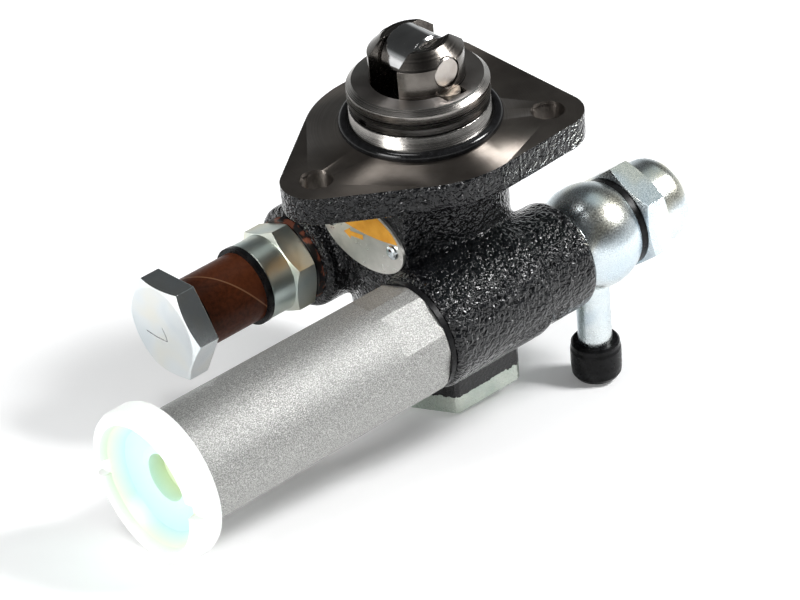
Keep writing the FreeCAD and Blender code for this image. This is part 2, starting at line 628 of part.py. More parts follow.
turned("barrel_bush", "x", [
    ("bush_far", "plunger_hole"), ("bush_far", "barrel_bore"), ("bush_near", "barrel_bore"),
    ("bush_near", "plunger_r + 2"), ("bush_near - 3", "plunger_r + 2"),
    ("bush_near - 3", "plunger_hole")])
place(nodes["barrel_bush"], y="- fit_y", z="axis_z")
ring("rod_seal", "x", "bush_near - 3", "bush_near - 0.5", "plunger_hole", "plunger_r + 2")
place(nodes["rod_seal"], y="- fit_y", z="axis_z")
turned("primer_piston", "x", [
    ("cup_piston_far", "plunger_hole"), ("cup_piston_far", "cup_piston_r"),
    ("cup_piston_mid - cup_ring_half", "cup_piston_r"),
    ("cup_piston_mid - cup_ring_half", "cup_groove"),
    ("cup_piston_mid + cup_ring_half", "cup_groove"),
    ("cup_piston_mid + cup_ring_half", "cup_piston_r"),
    ("cup_piston_near", "cup_piston_r"), ("cup_piston_near", "0"), ("plunger_near", "0"),
    ("plunger_near", "plunger_hole")])
place(nodes["primer_piston"], y="- fit_y", z="axis_z")
ring("primer_seal", "x", "cup_piston_mid - cup_ring_half", "cup_piston_mid + cup_ring_half",
     "cup_groove", "cup_piston_r")
place(nodes["primer_seal"], y="- fit_y", z="axis_z")
turned("primer_rod", "x", [
    ("plunger_far", "0"), ("plunger_far", "plunger_r - 0.4"), ("plunger_far + 0.4", "plunger_r"),
    ("plunger_near - 0.4", "plunger_r"), ("plunger_near", "plunger_r - 0.4"),
    ("plunger_near", "0")])
place(nodes["primer_rod"], y="- fit_y", z="axis_z")
knob = turned("primer_knob", "x", [
    ("well_floor", "0"), ("well_floor", "well_r"), ("recess_floor", "well_r"),
    ("recess_floor", "recess_low_r"), ("recess_floor - 1.5", "recess_r - 3.5"),
    ("knob_front + 2", "recess_r - 0.6"), ("knob_front", "recess_r"),
    ("knob_front", "knob_r - knob_round"), ("knob_front + 0.5", "knob_r - 0.5"),
    ("knob_front + knob_round", "knob_r"), ("barrel_end - knob_round", "knob_r"),
    ("barrel_end - 0.5", "knob_r - 0.5"), ("barrel_end", "knob_r - knob_round"),
    ("barrel_end", "hub_r"), ("hub_end", "hub_r"), ("hub_end", "plunger_r"),
    ("plunger_far", "plunger_r"), ("plunger_far", "0")])
sketch = polygon(knob, "notch_outline", "YZ_Plane", [
    ("notch_in", "- notch_half"), ("knob_r + 1", "- notch_half"),
    ("knob_r + 1", "notch_half"), ("notch_in", "notch_half")], offset="knob_front + notch_deep")
cut(knob, "notch_cut", sketch, "notch_deep + 1")
sketch = polygon(knob, "far_notch_outline", "YZ_Plane", [
    ("- notch_in", "- notch_half"), ("- notch_in", "notch_half"),
    ("- knob_r - 1", "notch_half"), ("- knob_r - 1", "- notch_half")],
    offset="knob_front + notch_deep")
cut(knob, "far_notch_cut", sketch, "notch_deep + 1")
place(knob, y="- fit_y", z="axis_z", roll=-8.0)

# Valves
for label, side in (("inlet", "- fit_y"), ("outlet", "fit_y")):
    turned(label + "_valve", "x", [
        ("seat_x", "0"), ("seat_x", "valve_r - 0.3"), ("seat_x - 0.3", "valve_r"),
        ("valve_back", "valve_r"), ("valve_back", "stem_r"), ("stem_end", "stem_r"),
        ("stem_end", "0")])
    place(nodes[label + "_valve"], y=side, z="axis_z")
spring = coil("inlet_valve_spring", "x", "shank_end", "valve_back - shank_end", "valve_coil",
              "valve_wire", "valve_turns")
spring.setExpression(".Placement.Base.y", "- sizes.fit_y")
spring.setExpression(".Placement.Base.z", "sizes.axis_z")
spring = coil("outlet_valve_spring", "x", "adapter_in", "valve_back - adapter_in", "valve_coil",
              "valve_wire", "valve_turns")
spring.setExpression(".Placement.Base.y", "sizes.fit_y")
spring.setExpression(".Placement.Base.z", "sizes.axis_z")

# Inlet union
ball = new_body("union_ball")
sketch = new_sketch(ball, "ball_outline", "XY_Plane")
half = [("ball_near", "eye_bore"), ("ball_near", "neck_r"), ("neck_end", "neck_r")]
spots = [FreeCAD.Vector(number(a), number(b), 0) for a, b in half]
face = FreeCAD.Vector(number("ball_face"), number("ball_cut"), 0)
low = FreeCAD.Vector(number("ball_face"), number("eye_bore"), 0)
centre = FreeCAD.Vector(number("ball_x"), 0, 0)
start = math.atan2(face.y, face.x - centre.x)
end = math.atan2(spots[2].y, spots[2].x - centre.x)
round_side = Part.ArcOfCircle(
    Part.Circle(centre, FreeCAD.Vector(0, 0, 1), number("ball_r")), start, end)
sketch.addGeometry(Part.LineSegment(spots[0], spots[1]), False)
sketch.addGeometry(Part.LineSegment(spots[1], spots[2]), False)
sketch.addGeometry(round_side, False)
sketch.addGeometry(Part.LineSegment(face, low), False)
sketch.addGeometry(Part.LineSegment(low, spots[0]), False)
for first, point, second, other in ((0, 2, 1, 1), (1, 2, 2, 2), (2, 1, 3, 1), (3, 2, 4, 1),
                                    (4, 2, 0, 1)):
    sketch.addConstraint(Sketcher.Constraint("Coincident", first, point, second, other))
hold(sketch, 0, 1, "ball_near", "eye_bore")
hold(sketch, 0, 2, "ball_near", "neck_r")
sketch.addConstraint(Sketcher.Constraint("Horizontal", 1))
hold(sketch, 2, 3, "ball_x", "0")
index = sketch.addConstraint(Sketcher.Constraint("Radius", 2, number("ball_r")))
sketch.setExpression("Constraints[%d]" % index, "sizes.ball_r")
hold(sketch, 3, 2, "ball_face", "eye_bore")
sketch.addConstraint(Sketcher.Constraint("Vertical", 3))
eye = ball.newObject("PartDesign::Revolution", "ball_turn")
eye.Profile = sketch
eye.ReferenceAxis = (sketch, ["H_Axis"])
eye.Angle = 360.0
turn(ball, "eye_groove", "x", [
    ("ball_x - eye_groove_half", "eye_bore - 1"), ("ball_x - eye_groove_half", "eye_groove_r"),
    ("ball_x + eye_groove_half", "eye_groove_r"), ("ball_x + eye_groove_half", "eye_bore - 1")],
    groove=True)
sketch = circles(ball, "pipe_socket", "XY_Plane", [("ball_x", "0")], "pipe_r",
                 offset="pipe_top - axis_z")
cut(ball, "pipe_socket_cut", sketch, "ball_r")
sketch = circles(ball, "pipe_way", "XY_Plane", [("ball_x", "0")], "pipe_bore",
                 offset="- eye_bore")
cut(ball, "pipe_way_cut", sketch, "ball_r")
place(ball, y="- fit_y", z="axis_z")
ring("inner_gasket", "x", "union_face", "ball_near", "eye_bore", "copper_r")
place(nodes["inner_gasket"], y="- fit_y", z="axis_z")
ring("outer_gasket", "x", "ball_face", "hex_near", "eye_bore", "gasket_r")
place(nodes["outer_gasket"], y="- fit_y", z="axis_z")

stud = new_body("union_bolt")
hexagon(stud, "union_hex", "union_af", "hex_near", "union_hex")
bevel(stud, "union_hex_near", "union_af", "hex_near", "+")
bevel(stud, "union_hex_far", "union_af", "hex_far", "-")
turn(stud, "union_shank", "x", [
    ("stud_end", "stud_bore"), ("stud_end", "stud_r"), ("hex_near", "stud_r"),
    ("hex_near", "dome_r"), ("dome_end", "dome_r"), ("dome_end", "0"), ("hex_near", "0"),
    ("hex_near", "stud_bore")])
doc.recompute()
blunt = stud.Tip
crown = ["Edge%d" % (k + 1) for k, edge in enumerate(blunt.Shape.Edges)
         if min(v.X for v in edge.Vertexes) > number("dome_end") - 0.01
         and max(abs(v.Y) + abs(v.Z) for v in edge.Vertexes) > 1]
dome = stud.newObject("PartDesign::Fillet", "union_dome")
dome.Base = (blunt, crown)
dome.setExpression("Radius", "sizes.dome_round")
dome.Radius = number("dome_round")
sketch = circles(stud, "stud_cross_hole", "XY_Plane", [("ball_x", "0")], "stud_hole")
cut(stud, "stud_cross_cut", sketch)
place(stud, y="- fit_y", z="axis_z", roll=-8.5)
ring("inlet_strainer", "x", "stud_end + 1", "hex_near", "strainer_in", "strainer_out")
place(nodes["inlet_strainer"], y="- fit_y", z="axis_z")
pipe = turned("inlet_pipe", "z", [
    ("pipe_low", "pipe_bore"), ("pipe_low", "pipe_r"), ("pipe_top", "pipe_r"),
    ("pipe_top", "pipe_bore")])
place(pipe, y="- fit_y")
pipe.setExpression(".Placement.Base.x", "sizes.ball_x")
cap = turned("pipe_cap", "z", [
    ("cap_low", "0"), ("cap_low", "cap_r - 1.8"), ("cap_low + 0.5", "cap_r - 0.9"),
    ("cap_low + 1.6", "cap_r - 0.2"), ("cap_low + 4", "cap_r"), ("cap_top - 2.6", "cap_r"),
    ("cap_top - 1.8", "cap_r - 0.3"), ("cap_top - 0.6", "cap_r - 0.3"), ("cap_top", "cap_r - 0.8"),
    ("cap_top", "pipe_r"), ("pipe_low", "pipe_r"), ("pipe_low", "pipe_bore"),
    ("cap_floor", "pipe_bore"), ("cap_floor", "0")])
place(cap, y="- fit_y")
cap.setExpression(".Placement.Base.x", "sizes.ball_x")

# Outlet fitting with the packing spacer
ring("outlet_washer", "x", "adapter_hex", "outlet_face", "chamber_r + 0.1", "copper_out")
place(nodes["outlet_washer"], y="fit_y", z="axis_z")
adapter = new_body("outlet_adapter")
hexagon(adapter, "adapter_hex", "adapter_af", "adapter_hex_end",
        "adapter_hex - adapter_hex_end")
bevel(adapter, "adapter_hex_outer", "adapter_af", "adapter_hex_end", "+")
bevel(adapter, "adapter_hex_inner", "adapter_af", "adapter_hex", "-")
turn(adapter, "adapter_turned", "x", [
    ("adapter_end", "shank_bore"), ("adapter_end", "adapter_collar - 0.4"),
    ("adapter_end + 0.4", "adapter_collar"), ("adapter_hex_end", "adapter_collar"),
    ("adapter_hex", "adapter_collar"), ("adapter_hex", "shank_r"), ("adapter_in", "shank_r"),
    ("adapter_in", "shank_bore")])
turn(adapter, "adapter_thread", "x", [
    ("adapter_end - 1", "0"), ("adapter_end - 1", "bolt_bore"), ("bolt_bore_end", "bolt_bore"),
    ("bolt_bore_end", "shank_bore"), ("adapter_in + 1", "shank_bore"), ("adapter_in + 1", "0")],
    groove=True)
place(adapter, y="fit_y", z="axis_z", roll=7.0)
ring("seal_washer", "x", "seal_washer_end", "adapter_end", "bolt_bore", "seal_washer_r")
place(nodes["seal_washer"], y="fit_y", z="axis_z")
ring("spacer_tube", "x", "spacer_end", "seal_washer_end", "spacer_bore", "spacer_r")
place(nodes["spacer_tube"], y="fit_y", z="axis_z")
ring("bolt_washer", "x", "bolt_face", "spacer_end", "spacer_bore", "bolt_washer_r")
place(nodes["bolt_washer"], y="fit_y", z="axis_z")
bolt = new_body("outlet_bolt")
hexagon(bolt, "bolt_hex", "bolt_af", "bolt_end", "bolt_head")
bevel(bolt, "bolt_hex_outer", "bolt_af", "bolt_end", "+")
turn(bolt, "bolt_shank", "x", [
    ("bolt_face - 1", "0"), ("bolt_face - 1", "bolt_r"), ("bolt_tip", "bolt_r"),
    ("bolt_tip", "bolt_hollow"), ("bolt_face + 3", "bolt_hollow"), ("bolt_face + 3", "0")])
sketch = circles(bolt, "bolt_cross_hole", "XY_Plane", [("spacer_end + 9", "0")], "stud_hole")
cut(bolt, "bolt_cross_cut", sketch)
place(bolt, y="fit_y", z="axis_z", roll=-34.0)

doc.recompute()

# Check and write
faults = ["%s: %s" % (o.Name, o.State) for o in doc.Objects
          if any(word in ("Invalid", "Error") for word in o.State)]
for label, item in nodes.items():
    if item.Shape.isNull() or not item.Shape.isValid() or item.Shape.Volume <= 0:
        faults.append(label + " has no sound shape")
if faults:
    raise RuntimeError("; ".join(faults))
os.makedirs("parts", exist_ok=True)
for label, item in nodes.items():
    item.Shape.exportStep("parts/%s.step" % label)
    print(label, round(item.Shape.Volume, 1), len(item.Shape.Solids))
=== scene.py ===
import math
import bmesh
import bpy
from mathutils import Matrix, Vector


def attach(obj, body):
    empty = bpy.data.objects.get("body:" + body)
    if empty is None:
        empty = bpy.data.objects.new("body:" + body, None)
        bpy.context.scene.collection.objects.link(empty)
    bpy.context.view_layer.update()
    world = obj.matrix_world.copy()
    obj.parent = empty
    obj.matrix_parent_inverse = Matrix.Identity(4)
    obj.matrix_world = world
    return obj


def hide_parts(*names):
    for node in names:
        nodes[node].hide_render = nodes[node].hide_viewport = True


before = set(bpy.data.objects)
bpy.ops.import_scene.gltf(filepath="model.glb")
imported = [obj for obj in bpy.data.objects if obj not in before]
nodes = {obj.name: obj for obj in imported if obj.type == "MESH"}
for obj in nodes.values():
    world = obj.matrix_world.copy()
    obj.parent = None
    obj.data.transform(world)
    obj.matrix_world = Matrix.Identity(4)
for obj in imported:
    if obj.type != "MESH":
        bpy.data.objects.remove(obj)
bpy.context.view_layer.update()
scene = bpy.context.scene

# Places in the frame's own axes: the fittings run along X at FIT_Y or -FIT_Y and at height AXIS_Z.
MM = 0.001
FIT_Y = 25 * MM
AXIS_Z = -40.9 * MM
ROLLER_Z = 19.2 * MM
KNOB_FRONT = -117.4 * MM
RECESS_R = 17.5 * MM
WELL_DEPTH = 11.4 * MM
PAINT_LINE = -72.8 * MM
PARTING_X = 5.6 * MM
PLATE_X = -22.8 * MM
PLATE_Z = -24.0 * MM
PLATE_HALF_Y = 15.2 * MM
PLATE_HALF_Z = 9.0 * MM
BOLT_X = -71.3 * MM

# The wound tube's seam: its lead along X for one turn, and where the first turn starts, in turns.
SEAM_LEAD = 47.1 * MM
SEAM_START = 1.9646
SEAM_HALF_WIDTH = 0.0055

# The casting is shown in two pieces that overlap inside the flange's edge.
TOP_CUT = -2.0 * MM
CAST_CUT = -0.3 * MM
WELD_GAP = 1e-7
FACE_SKIN = 0.01 * MM
BORE_EDGE = 12.6 * MM
SPIGOT_EDGE = 18.7 * MM
RING_FACE_Z = 13.0 * MM
# The groove under the spigot's collar: its walls are drawn in the ring's near-black steel as painted
# shade.
GROOVE_Z = (6.2 * MM, 8.7 * MM)
GROOVE_R = (16.0 * MM, 18.5 * MM)
STUD_HOLES = [Vector(place) * MM for place in ((-36.6, -1, 0), (25.3, -20.7, 0), (25.3, 18.7, 0))]
HOLE_EDGE = 4.9 * MM
HOLE_DEPTH = -8.0 * MM
VOXEL = 0.68 * MM
SOFT_START = -3.0 * MM
SOFT_FULL = 2.5 * MM

# The pump lies on the knob's rim, its pipe cap and a corner of its plug, so the floor is aslant.
KNOB_FOOT = Vector((-115.8, -25.0, -61.7)) * MM
CAP_FOOT = Vector((28.4, -25.0, -85.3)) * MM
PLUG_FOOT = Vector((-21.8, 0.0, -77.8)) * MM
FLOOR_GAP = 0.05 * MM
FLOOR_REACH = 4.0

# The photograph's camera, from a fit to the outlines: the focal length is in pixels of its width.
FOCAL_PX = 4004
PHOTO_WIDTH_PX = 800
SENSOR_MM = 36.0
CAMERA_PLACE = Vector((-558.32, -677.76, 540.7)) * MM
CAMERA_RIGHT = Vector((0.744843, -0.663306, -0.072346))
CAMERA_DOWN = Vector((-0.418983, -0.380571, -0.82439))
CAMERA_AHEAD = Vector((0.51929, 0.644353, -0.56138))


class Maker:
    """One procedural material. Textures use object coordinates, which are the frame's, in metres."""

    def __init__(self, name):
        self.mat = bpy.data.materials.new(name)
        self.mat.use_nodes = True
        self.tree = self.mat.node_tree
        self.tree.nodes.clear()
        out = self.tree.nodes.new("ShaderNodeOutputMaterial")
        self.bsdf = self.tree.nodes.new("ShaderNodeBsdfPrincipled")
        self.tree.links.new(self.bsdf.outputs[0], out.inputs[0])
        self.place = self.tree.nodes.new("ShaderNodeTexCoord").outputs["Object"]
        self.normal = None

    def set(self, **values):
        for key, value in values.items():
            self.bsdf.inputs[key.replace("_", " ")].default_value = value

    def link(self, a, b):
        self.tree.links.new(a, b)

    def noise(self, scale, detail=3.0, rough=0.5, vector=None, distort=0.0):
        node = self.tree.nodes.new("ShaderNodeTexNoise")
        node.inputs["Scale"].default_value = scale
        node.inputs["Detail"].default_value = detail
        node.inputs["Roughness"].default_value = rough
        node.inputs["Distortion"].default_value = distort
        self.link(vector or self.place, node.inputs["Vector"])
        return node.outputs["Fac"]

    def ramp(self, value, stops):
        node = self.tree.nodes.new("ShaderNodeValToRGB")
        points = node.color_ramp.elements
        for _ in range(len(stops) - 2):
            points.new(0.5)
        for point, (where, colour) in zip(points, stops):
            point.position = where
            point.color = (*colour, 1.0)
        self.link(value, node.inputs[0])
        return node.outputs[0]

    def range(self, value, low, high, from_low=0.3, from_high=0.7):
        node = self.tree.nodes.new("ShaderNodeMapRange")
        for key, number in zip((1, 2, 3, 4), (from_low, from_high, low, high)):
            node.inputs[key].default_value = number
        self.link(value, node.inputs[0])
        return node.outputs[0]

    def math(self, operation, *values):
        node = self.tree.nodes.new("ShaderNodeMath")
        node.operation = operation
        for socket, value in zip(node.inputs, values):
            if isinstance(value, (int, float)):
                socket.default_value = value
            else:
                self.link(value, socket)
        return node.outputs[0]

    def hypot(self, a, b):
        return self.math("SQRT", self.math("ADD", self.math("MULTIPLY", a, a),
                                           self.math("MULTIPLY", b, b)))

    def mix(self, factor, a, b):
        node = self.tree.nodes.new("ShaderNodeMix")
        node.data_type = "RGBA"
        for socket, value in ((node.inputs[0], factor), (node.inputs[6], a), (node.inputs[7], b)):
            if isinstance(value, tuple):
                socket.default_value = (*value, 1.0)
            else:
                self.link(value, socket)
        return node.outputs[2]

    def parts(self):
        node = self.tree.nodes.new("ShaderNodeSeparateXYZ")
        self.link(self.place, node.inputs[0])
        return node.outputs

    def turned(self, axis, y=0.0, z=0.0):
        """Coordinates (distance from a turned part's axis, place along it), for lathe marks."""
        px, py, pz = self.parts()
        if axis == "z":
            along, a, b = pz, px, py
        elif axis == "y":
            along, a, b = py, px, self.math("SUBTRACT", pz, z)
        else:
            along, a, b = px, self.math("SUBTRACT", py, y), self.math("SUBTRACT", pz, z)
        node = self.tree.nodes.new("ShaderNodeCombineXYZ")
        self.link(self.hypot(a, b), node.inputs[0])
        self.link(along, node.inputs[1])
        return node.outputs[0]

    def soft_edges(self, radius):
        node = self.tree.nodes.new("ShaderNodeBevel")
        node.samples = 4
        node.inputs["Radius"].default_value = radius
        self.normal = node.outputs[0]
        self.link(self.normal, self.bsdf.inputs["Normal"])

    def bump(self, height, strength, distance):
        node = self.tree.nodes.new("ShaderNodeBump")
        node.inputs["Strength"].default_value = strength
        node.inputs["Distance"].default_value = distance
        self.link(height, node.inputs["Height"])
        if self.normal is not None:
            self.link(self.normal, node.inputs["Normal"])
        self.normal = node.outputs[0]
        self.link(self.normal, self.bsdf.inputs["Normal"])

    def colour(self, value):
        self.link(value, self.bsdf.inputs["Base Color"])

    def rough(self, value):
        self.link(value, self.bsdf.inputs["Roughness"])


def wrinkle_paint():
    """Glossy black paint on rough cast iron, with the mould's parting line as a low ridge."""
    m = Maker("black_wrinkle_paint")
    wrinkles = m.noise(760, 1, 0.4, distort=0.8)
    # The colour is darker in the wrinkles' hollows and lighter on their crests: painted shade.
    m.colour(m.ramp(wrinkles, [(0.35, (0.0012, 0.0012, 0.0015)), (0.6, (0.006, 0.0064, 0.0075))]))
    m.set(Specular_IOR_Level=0.36)
    m.rough(m.range(m.noise(300, 3), 0.04, 0.09))
    aside = m.math("ABSOLUTE", m.math("SUBTRACT", m.parts()[0], PARTING_X))
    m.bump(m.range(aside, 1.0, 0.0, 0.1 * MM, 0.6 * MM), 0.9, 0.5 * MM)
    m.bump(m.noise(330, 2), 0.8, 0.5 * MM)
    m.bump(wrinkles, 1.0, 1.05 * MM)
    return m.mat


def machined_face(name="machined_iron_face", low=(0.085, 0.073, 0.064), high=(0.165, 0.147, 0.13)):
    """Iron faced on a lathe: its reflections spread out from the tappet's axis in fans."""
    m = Maker(name)
    marks = m.noise(2600, 3, 0.6, m.turned("z"))
    m.colour(m.ramp(m.noise(70, 4), [(0.3, low), (0.7, high)]))
    m.set(Metallic=0.9, Anisotropic=0.9, Anisotropic_Rotation=0.25)
    m.rough(m.range(marks, 0.3, 0.48))
    m.bump(marks, 0.5, 0.1 * MM)
    tangent = m.tree.nodes.new("ShaderNodeTangent")
    tangent.direction_type = "RADIAL"
    tangent.axis = "Z"
    m.link(tangent.outputs[0], m.bsdf.inputs["Tangent"])
    return m.mat


def steel(name, axis="z", y=0.0, z=0.0, low=(0.3, 0.29, 0.275), high=(0.5, 0.485, 0.46),
          rough=(0.14, 0.3), mark=2400, depth=0.12):
    m = Maker(name)
    m.soft_edges(0.15 * MM)
    marks = m.noise(mark, 3, 0.6, m.turned(axis, y, z))
    m.colour(m.ramp(m.noise(150, 4), [(0.3, low), (0.7, high)]))
    m.set(Metallic=1.0)
    m.rough(m.range(marks, *rough))
    m.bump(m.noise(3800, 2, 0.6), 0.1, 0.05 * MM)
    m.bump(marks, depth, 0.08 * MM)
    return m.mat


def zinc(name, y, rough=(0.12, 0.27),
         tints=((0.56, 0.64, 0.69), (0.68, 0.73, 0.74), (0.72, 0.68, 0.53))):
    """Zinc plate on a part turned about X, with its cool, plain and warm stains."""
    m = Maker(name)
    m.soft_edges(0.22 * MM)
    m.colour(m.ramp(m.noise(60, 2, 0.5, distort=0.5), list(zip((0.34, 0.52, 0.74), tints))))
    m.set(Metallic=1.0)
    m.rough(m.range(m.noise(2400, 3, 0.6), *rough))
    m.bump(m.noise(3400, 2, 0.6), 0.14, 0.08 * MM)
    m.bump(m.noise(2600, 2, 0.6, m.turned("x", y, AXIS_Z)), 0.1, 0.06 * MM)
    return m.mat


def plug_zinc():
    """The plug was sprayed with the casting: bare zinc below, black paint above."""
    m = Maker("zinc_plug_half_painted")
    m.soft_edges(0.3 * MM)
    height = m.math("ADD", m.parts()[2], m.range(m.noise(700, 3), -0.35 * MM, 0.35 * MM))
    bare = m.math("LESS_THAN", height, PAINT_LINE)
    grain = m.noise(2400, 3, 0.6)
    metal = m.ramp(m.noise(90, 3), [(0.3, (0.42, 0.48, 0.43)), (0.7, (0.6, 0.63, 0.57))])
    m.colour(m.mix(bare, (0.0035, 0.0037, 0.0045), metal))
    m.link(bare, m.bsdf.inputs["Metallic"])
    m.rough(m.range(grain, 0.16, 0.36))
    m.bump(m.noise(820, 2, 0.5, distort=0.6), 0.35, 0.5 * MM)
    m.bump(grain, 0.2, 0.1 * MM)
    return m.mat


def cast_aluminium():
    m = Maker("sand_cast_aluminium")
    m.soft_edges(0.25 * MM)
    grain = m.noise(3400, 2, 0.8)
    m.colour(m.ramp(grain, [(0.3, (0.18, 0.18, 0.173)), (0.5, (0.34, 0.34, 0.327)),
                            (0.66, (0.64, 0.64, 0.62))]))
    m.set(Metallic=0.72)
    m.rough(m.range(m.noise(1500, 3), 0.36, 0.58))
    m.bump(grain, 0.6, 0.25 * MM)
    m.bump(m.noise(300, 3), 0.12, 0.3 * MM)
    return m.mat


def nylon():
    """Milky plastic, white outside; inside the recess and the well its colour is painted shade and
    painted light coming through the plastic, tinted green and cyan and darker down the well.
    """
    m = Maker("natural_nylon")
    m.soft_edges(0.3 * MM)
    px, py, pz = m.parts()
    out = m.hypot(m.math("ADD", py, FIT_Y), m.math("SUBTRACT", pz, AXIS_Z))
    inside = m.math("LESS_THAN", out, RECESS_R)
    depth = m.range(px, 0.0, 1.0, KNOB_FRONT, KNOB_FRONT + WELL_DEPTH)
    white = m.ramp(m.noise(60, 2), [(0.3, (0.87, 0.9, 0.87)), (0.7, (0.92, 0.93, 0.9))])
    # Painted shade and painted light through the plastic, by depth down the recess and the well.
    tint = m.ramp(depth, [(0.02, (0.86, 0.9, 0.84)), (0.2, (0.79, 0.87, 0.7)),
                          (0.48, (0.54, 0.78, 0.8)), (0.62, (0.62, 0.82, 0.76)),
                          (1.0, (0.7, 0.8, 0.56))])
    m.colour(m.mix(inside, white, tint))
    m.rough(m.range(m.noise(300, 3), 0.28, 0.4))
    m.set(Subsurface_Weight=0.35, Subsurface_Scale=4 * MM, IOR=1.5,
          Subsurface_Radius=(0.8, 1.0, 0.9))
    m.bump(m.noise(500, 3), 0.06, 0.2 * MM)
    return m.mat


def rubber(name="black_rubber", rough=(0.22, 0.38), shine=0.12):
    m = Maker(name)
    m.colour(m.ramp(m.noise(500, 3), [(0.3, (0.004, 0.004, 0.004)), (0.7, (0.011, 0.011, 0.012))]))
    m.rough(m.range(m.noise(700, 3), *rough))
    m.set(Specular_IOR_Level=shine)
    m.bump(m.noise(1800, 3), 0.12, 0.1 * MM)
    return m.mat


def laminate():
    """Brown wound tube: the edge of the wound sheet runs round it as a slanted line."""
    m = Maker("brown_wound_laminate")
    px, py, pz = m.parts()
    angle = m.math("ARCTAN2", m.math("SUBTRACT", pz, AXIS_Z), m.math("SUBTRACT", py, FIT_Y))
    turns = m.math("SUBTRACT", m.math("DIVIDE", px, SEAM_LEAD), m.math("DIVIDE", angle, math.tau))
    place = m.math("FRACT", m.math("ADD", turns, SEAM_START))
    aside = m.math("ABSOLUTE", m.math("SUBTRACT", place, 0.5))
    seam = m.math("LESS_THAN", aside, SEAM_HALF_WIDTH)
    step = m.math("GREATER_THAN", place, 0.5)
    grain = m.noise(900, 4, 0.7)
    body = m.ramp(grain, [(0.3, (0.05, 0.0125, 0.0045)), (0.7, (0.115, 0.031, 0.0115))])
    shade = m.mix(m.math("MULTIPLY", step, 0.2), body, (0.17, 0.05, 0.02))
    m.colour(m.mix(m.math("MULTIPLY", seam, 0.7), shade, (0.34, 0.17, 0.09)))
    m.rough(m.range(m.noise(1200, 3), 0.32, 0.5))
    m.bump(grain, 0.2, 0.1 * MM)
    m.set(Specular_IOR_Level=0.14)
    return m.mat


def copper_washer_in_painted_shade():
    """The washer behind the outlet fitting, mostly near-black as painted shade in the gap between
    the fitting and the boss, with copper showing in patches.
    """
    m = Maker("copper_darkened_as_gap_shade")
    # Where no copper shows, the near-black is painted shade of the gap between the fitting and the
    # boss.
    bare = m.range(m.noise(260, 3), 0.0, 1.0, 0.52, 0.6)
    m.colour(m.mix(bare, (0.006, 0.005, 0.005), (0.4, 0.14, 0.085)))
    m.rough(m.range(m.noise(500, 3), 0.3, 0.5))
    m.link(m.range(bare, 0.0, 0.8, 0.0, 1.0), m.bsdf.inputs["Metallic"])
    m.bump(m.noise(900, 3), 0.3, 0.2 * MM)
    return m.mat


def copper():
    m = Maker("copper")
    m.colour(m.ramp(m.noise(300, 4), [(0.3, (0.4, 0.15, 0.09)), (0.7, (0.62, 0.29, 0.19))]))
    m.set(Metallic=1.0)
    m.rough(m.range(m.noise(500, 3), 0.24, 0.4))
    m.bump(m.noise(900, 3), 0.12, 0.1 * MM)
    return m.mat


def plate_metal():
    m = Maker("plate_aluminium")
    m.colour(m.ramp(m.noise(200, 4), [(0.3, (0.6, 0.59, 0.55)), (0.7, (0.76, 0.74, 0.69))]))
    m.set(Metallic=0.85)
    m.rough(m.range(m.noise(500, 3), 0.26, 0.38))
    m.bump(m.noise(1200, 3), 0.1, 0.1 * MM)
    return m.mat


def ink():
    m = Maker("orange_ink")
    m.colour(m.ramp(m.noise(300, 3), [(0.3, (0.7, 0.3, 0.02)), (0.7, (0.85, 0.42, 0.05))]))
    m.set(Metallic=0.35)
    m.rough(m.range(m.noise(400, 3), 0.3, 0.42))
    return m.mat


def scratch():
    m = Maker("dark_scratch")
    m.colour(m.ramp(m.noise(900, 3), [(0.3, (0.05, 0.055, 0.06)), (0.7, (0.2, 0.2, 0.2))]))
    m.rough(m.range(m.noise(700, 3), 0.4, 0.6))
    return m.mat


MATERIALS = {
    "paint": wrinkle_paint(),
    "face": machined_face(),
    "ring_face": machined_face("turned_ring_face", (0.17, 0.155, 0.145), (0.31, 0.29, 0.275)),
    "spigot": steel("turned_spigot", low=(0.21, 0.2, 0.185), high=(0.4, 0.38, 0.36),
                    rough=(0.16, 0.36), depth=0.3),
    "tappet": steel("ground_tappet", low=(0.085, 0.077, 0.07), high=(0.18, 0.165, 0.15),
                    rough=(0.16, 0.3), mark=1500, depth=0.1),
    "roller": steel("ground_roller", axis="y", z=ROLLER_Z, low=(0.44, 0.44, 0.44),
                    high=(0.62, 0.62, 0.62), rough=(0.06, 0.14), depth=0.1),
    "pin": steel("pin_end", axis="y", z=ROLLER_Z, low=(0.34, 0.31, 0.285),
                 high=(0.5, 0.47, 0.44), rough=(0.24, 0.38)),
    "key": steel("key_steel", low=(0.32, 0.28, 0.24), high=(0.55, 0.49, 0.42), rough=(0.25, 0.4)),
    # Near-black steel for the retaining ring, also laid on its groove's walls as painted shade.
    "dark_ring_and_groove_shade": steel("dark_ring_and_groove_shade", low=(0.04, 0.038, 0.036), high=(0.12, 0.115, 0.11),
                       rough=(0.2, 0.34)),
    "wire": steel("spring_wire", low=(0.3, 0.3, 0.3), high=(0.5, 0.5, 0.5), rough=(0.2, 0.35)),
    "inner": steel("inner_steel", axis="x", y=-FIT_Y, z=AXIS_Z),
    "zinc_in": zinc("zinc_inlet", -FIT_Y, rough=(0.2, 0.36)),
    "zinc_out": zinc("zinc_outlet", FIT_Y,
                     tints=((0.68, 0.74, 0.77), (0.78, 0.82, 0.83), (0.82, 0.82, 0.76))),
    "zinc_warm": zinc("zinc_yellowed", FIT_Y, rough=(0.28, 0.44),
                      tints=((0.55, 0.63, 0.6), (0.7, 0.73, 0.65), (0.78, 0.73, 0.54))),
    "zinc_plug": plug_zinc(),
    "gap_shade_copper": copper_washer_in_painted_shade(),
    "aluminium": cast_aluminium(),
    "nylon": nylon(),
    "rubber": rubber(),
    "oiled": rubber("oiled_rubber", (0.1, 0.18), 0.3),
    "laminate": laminate(),
    "copper": copper(),
    "plate": plate_metal(),
    "ink": ink(),
    "scratch": scratch(),
}
